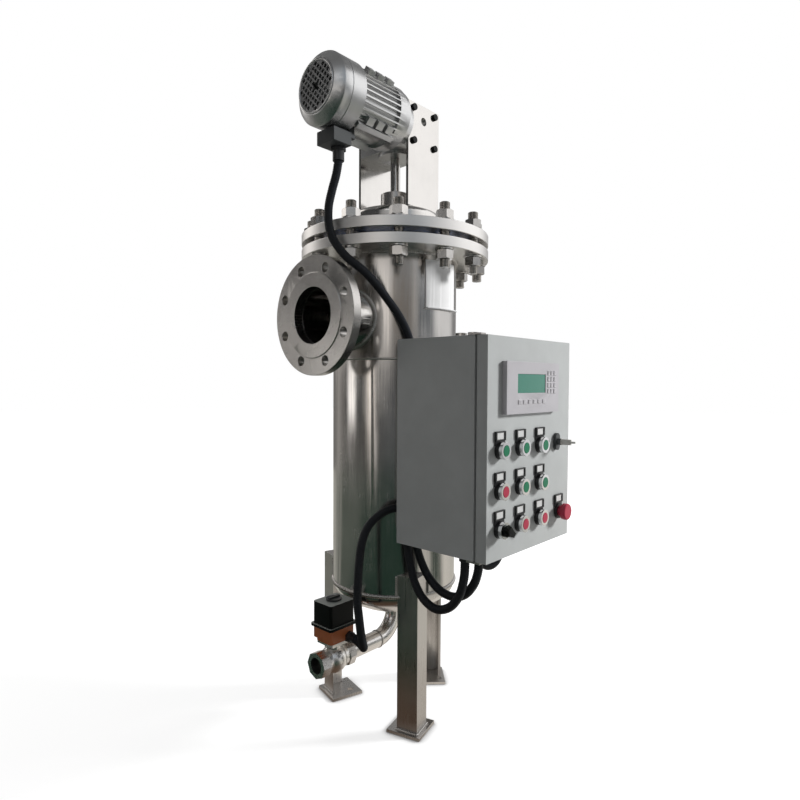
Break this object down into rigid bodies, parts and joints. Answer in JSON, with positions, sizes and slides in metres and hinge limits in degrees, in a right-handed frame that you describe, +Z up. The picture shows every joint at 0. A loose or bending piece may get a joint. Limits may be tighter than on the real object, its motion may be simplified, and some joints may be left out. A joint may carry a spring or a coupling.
{
  "type": "self cleaning filter",
  "caption": "Brush self-cleaning filter: upright steel pressure vessel on legs, geared motor on the cover, side nozzles, motor drain valve and a door-mounted control cabinet.",
  "frame": {"origin": "floor level, on the vessel axis, at the centre of the anchor bolt circle", "axes": "+Z up along the vessel axis, -X towards the inlet, motor fan and drain end, -Y towards the cabinet door"},
  "size_m": [0.4714, 0.56, 1.247],
  "materials": {
    "stainless": "satin",
    "bright_steel": "polished",
    "motor_alloy": "cast, silver paint",
    "gasket": "matte",
    "fastener": "plain",
    "dark_plastic": "matte",
    "black_plastic": "satin",
    "seat_plastic": "matte",
    "actuator_paint": "satin",
    "cabinet_paint": "satin",
    "device_plastic": "matte",
    "plain_plate": "bright",
    "conduit": "satin",
    "bristle": "matte",
    "bronze": "machined",
    "panel_plastic": "satin",
    "display": "gloss",
    "chrome_ring": "polished",
    "green_plastic": "gloss",
    "red_plastic": "gloss"
  },
  "bodies": {
    "vessel": {"foot_plates": "stainless", "legs": "stainless", "shell": "bright_steel", "bottom_head": "bright_steel", "body_flange": "stainless", "gasket": "gasket", "cover_flange": "stainless", "cover_cap": "bright_steel", "studs": "fastener", "nuts": "fastener", "nozzle_necks": "bright_steel", "nozzle_flanges": "stainless", "tube_sheet": "stainless", "screen": "bright_steel", "lower_spider": "stainless", "gland_housing": "stainless", "bracket_plates": "bright_steel", "bracket_bolts": "fastener", "gear_housing": "motor_alloy", "motor_frame": "motor_alloy", "fan_cowl": "motor_alloy", "terminal_box": "dark_plastic", "drain_pipe": "bright_steel", "valve_body": "bright_steel", "valve_seats": "seat_plastic", "actuator_base": "actuator_paint", "actuator_cover": "black_plastic", "cabinet": "cabinet_paint", "cabinet_saddles": "stainless", "hinge_pins": "stainless", "control_devices": "device_plastic", "cable_glands": "black_plastic", "name_plate": "plain_plate", "conduit_motor": "conduit", "conduit_valve": "conduit", "conduit_link": "conduit"},
    "brush_rotor": {"main_shaft": "bright_steel", "brush_arms": "stainless", "brush_strips": "bristle", "worm_wheel": "bronze"},
    "motor_rotor": {"rotor_shaft": "stainless", "cooling_fan": "dark_plastic"},
    "valve_turner": {"valve_ball": "bright_steel"},
    "door_leaf": {"door": "cabinet_paint", "hmi_panel": "panel_plastic", "hmi_screen": "display", "legend_holders": "black_plastic", "button_bezels": "chrome_ring"},
    "selector": {"selector_knob": "black_plastic"},
    "stop_button": {"stop_head": "red_plastic"},
    "key": {"lock_key": "fastener"},
    "push_button_1": {"button_1": "green_plastic"},
    "push_button_2": {"button_2": "green_plastic"},
    "push_button_3": {"button_3": "green_plastic"},
    "push_button_4": {"button_4": "red_plastic"},
    "push_button_5": {"button_5": "green_plastic"},
    "push_button_6": {"button_6": "green_plastic"},
    "push_button_7": {"button_7": "red_plastic"},
    "push_button_8": {"button_8": "red_plastic"}
  },
  "joints": [
    {"name": "shaft_spin", "type": "hinge", "parent": "vessel", "child": "brush_rotor", "pos_m": [0, 0, 0.49], "axis": [0, 0, 1], "continuous": true},
    {"name": "motor_spin", "type": "hinge", "parent": "vessel", "child": "motor_rotor", "pos_m": [-0.1, -0.042, 1.184], "axis": [1, 0, 0], "continuous": true},
    {"name": "valve_turn", "type": "hinge", "parent": "vessel", "child": "valve_turner", "pos_m": [-0.168, 0, 0.142], "axis": [0, 0, 1], "range_deg": [0, 90]},
    {"name": "door_swing", "type": "hinge", "parent": "vessel", "child": "door_leaf", "pos_m": [-0.132, -0.309, 0.5675], "axis": [0, 0, -1], "range_deg": [0, 100]},
    {"name": "selector_turn", "type": "hinge", "parent": "door_leaf", "child": "selector", "pos_m": [-0.102, -0.341, 0.436], "axis": [0, 1, 0], "range_deg": [-90, 0]},
    {"name": "stop_press", "type": "slide", "parent": "door_leaf", "child": "stop_button", "axis": [0, 1, 0], "range_m": [0, 0.005]},
    {"name": "key_turn", "type": "hinge", "parent": "door_leaf", "child": "key", "pos_m": [0.085, -0.327, 0.566], "axis": [0, 1, 0], "range_deg": [0, 90]},
    {"name": "press_button_1", "type": "slide", "parent": "door_leaf", "child": "push_button_1", "axis": [0, 1, 0], "range_m": [0, 0.0035], "stiffness_N_per_m": 800},
    {"name": "press_button_2", "type": "slide", "parent": "door_leaf", "child": "push_button_2", "axis": [0, 1, 0], "range_m": [0, 0.0035], "stiffness_N_per_m": 800},
    {"name": "press_button_3", "type": "slide", "parent": "door_leaf", "child": "push_button_3", "axis": [0, 1, 0], "range_m": [0, 0.0035], "stiffness_N_per_m": 800},
    {"name": "press_button_4", "type": "slide", "parent": "door_leaf", "child": "push_button_4", "axis": [0, 1, 0], "range_m": [0, 0.0035], "stiffness_N_per_m": 800},
    {"name": "press_button_5", "type": "slide", "parent": "door_leaf", "child": "push_button_5", "axis": [0, 1, 0], "range_m": [0, 0.0035], "stiffness_N_per_m": 800},
    {"name": "press_button_6", "type": "slide", "parent": "door_leaf", "child": "push_button_6", "axis": [0, 1, 0], "range_m": [0, 0.0035], "stiffness_N_per_m": 800},
    {"name": "press_button_7", "type": "slide", "parent": "door_leaf", "child": "push_button_7", "axis": [0, 1, 0], "range_m": [0, 0.0035], "stiffness_N_per_m": 800},
    {"name": "press_button_8", "type": "slide", "parent": "door_leaf", "child": "push_button_8", "axis": [0, 1, 0], "range_m": [0, 0.0035], "stiffness_N_per_m": 800}
  ],
  "couplings": [
    {"joint": "motor_spin", "follows": "shaft_spin", "ratio": 30}
  ]
}
